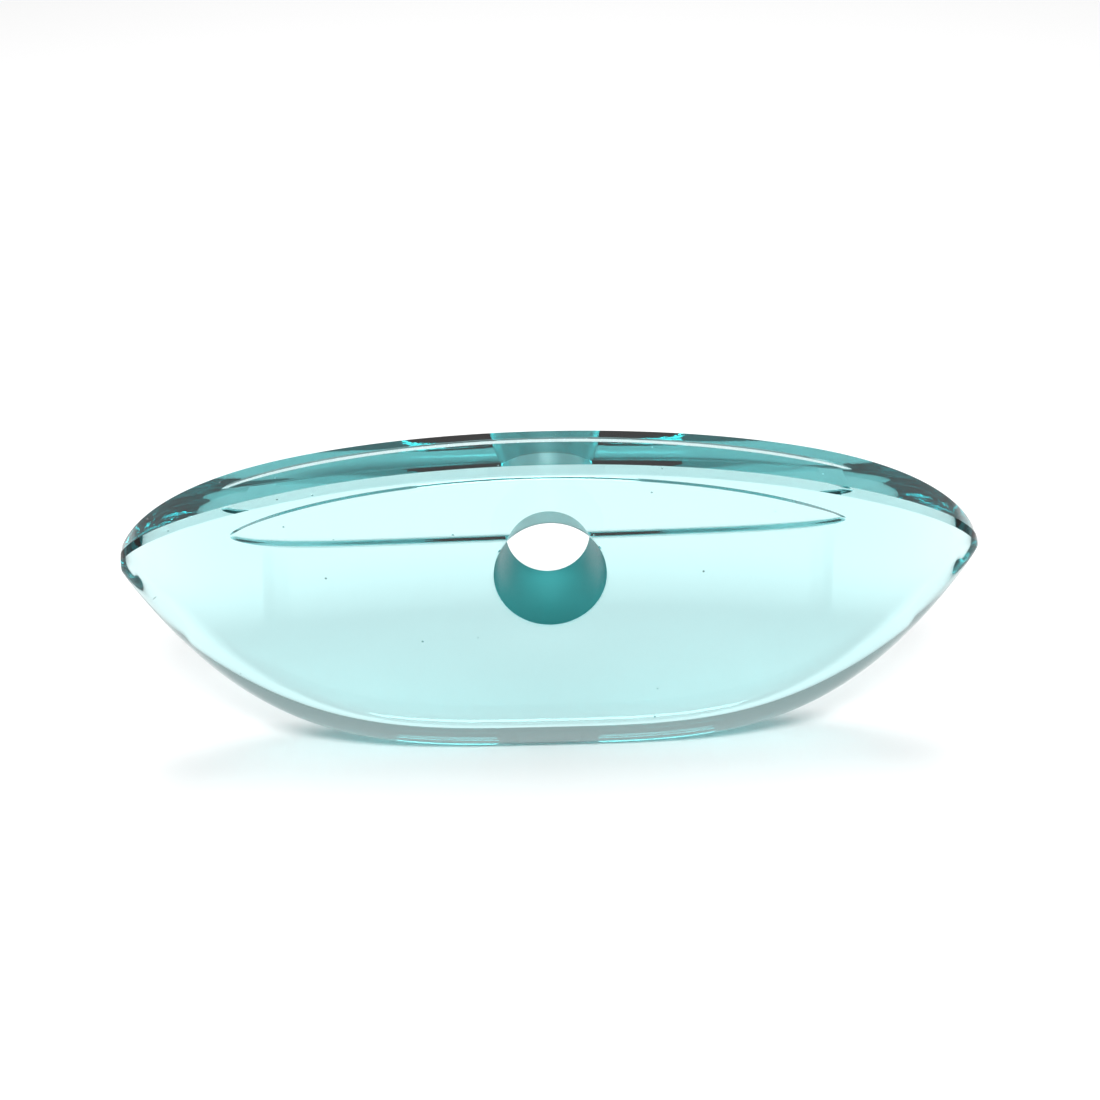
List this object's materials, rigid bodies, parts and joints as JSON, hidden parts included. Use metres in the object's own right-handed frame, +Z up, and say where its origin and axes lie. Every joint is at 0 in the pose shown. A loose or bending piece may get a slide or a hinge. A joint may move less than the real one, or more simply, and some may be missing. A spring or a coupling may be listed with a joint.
{
  "type": "solid glass block with a tapered through hole",
  "caption": "Boat-shaped solid block of clear aqua glass with a polished crown, a rounded belly, a shallow back recess and one ground, tapered through hole.",
  "frame": {"origin": "on the flat foot at the bottom of the belly, in the middle of the block's length and thickness, which is the middle of the bounding box's base", "axes": "+X along the length, -Y out of the front face with the wide end of the hole, +Z up"},
  "size_m": [0.14, 0.0158, 0.0532],
  "materials": {
    "aqua_glass": "polished clear aqua glass, darker teal where it is looked through along its length; the hole's wall is ground satin"
  },
  "bodies": {
    "root": {"glass_body": "aqua_glass"}
  },
  "joints": []
}
